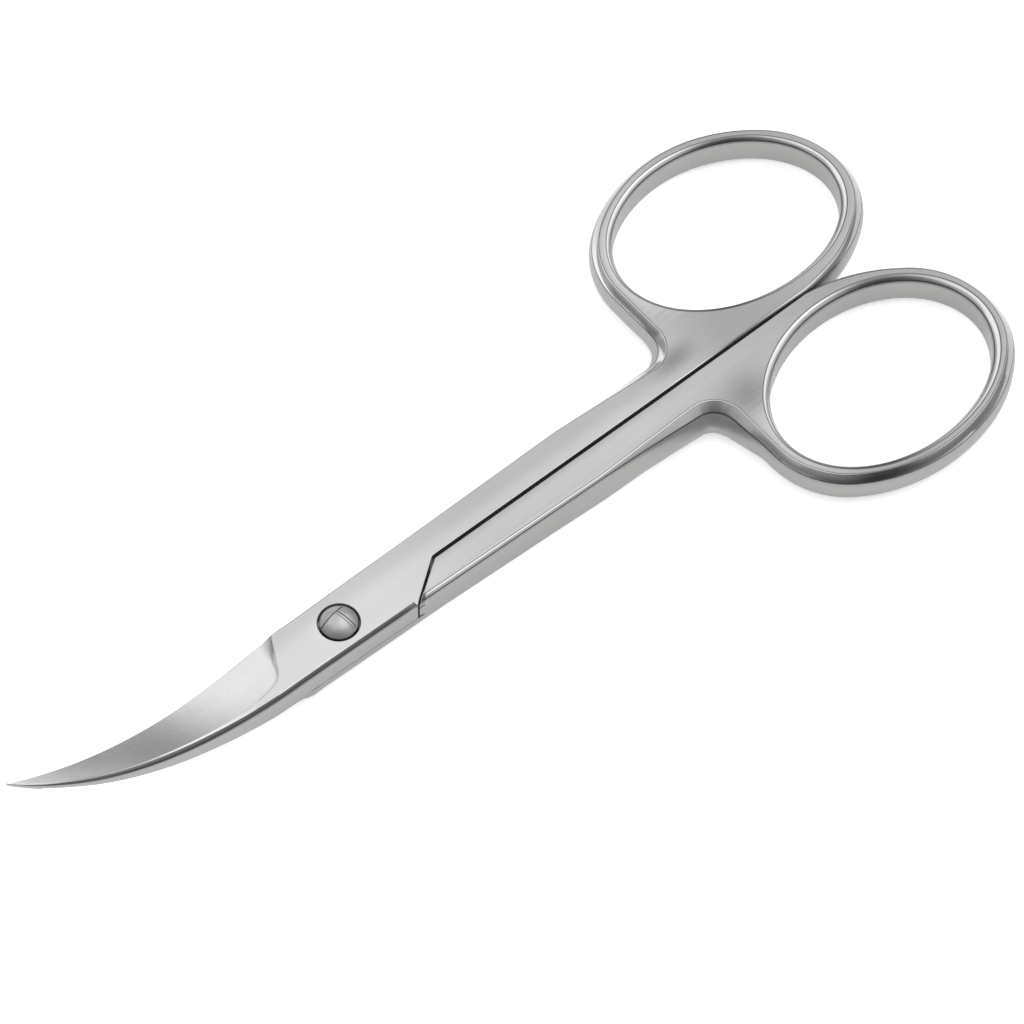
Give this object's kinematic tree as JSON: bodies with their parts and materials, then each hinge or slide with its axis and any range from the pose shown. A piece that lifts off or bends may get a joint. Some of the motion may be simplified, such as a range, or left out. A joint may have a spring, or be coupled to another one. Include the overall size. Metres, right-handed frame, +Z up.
{
  "type": "nail scissors",
  "caption": "Fine-pointed nail scissors with upward-curved blades, flat shanks, oval finger rings and a domed pivot screw.",
  "frame": {"origin": "foot of the pivot axis, on the flat underside", "axes": "+X from the pivot to the finger rings, +Y to the side of the upper half's ring, +Z up along the pivot screw"},
  "size_m": [0.0898, 0.037, 0.0129],
  "materials": {
    "satin_steel": "satin",
    "polished_steel": "polished"
  },
  "bodies": {
    "lower": {"lower_half": "satin_steel", "pivot_screw": "polished_steel"},
    "upper": {"upper_half": "satin_steel"}
  },
  "joints": [
    {"name": "joint_turn", "type": "hinge", "parent": "lower", "child": "upper", "pos_m": [0, 0, 0], "axis": [0, 0, 1], "range_deg": [0, 120]}
  ]
}
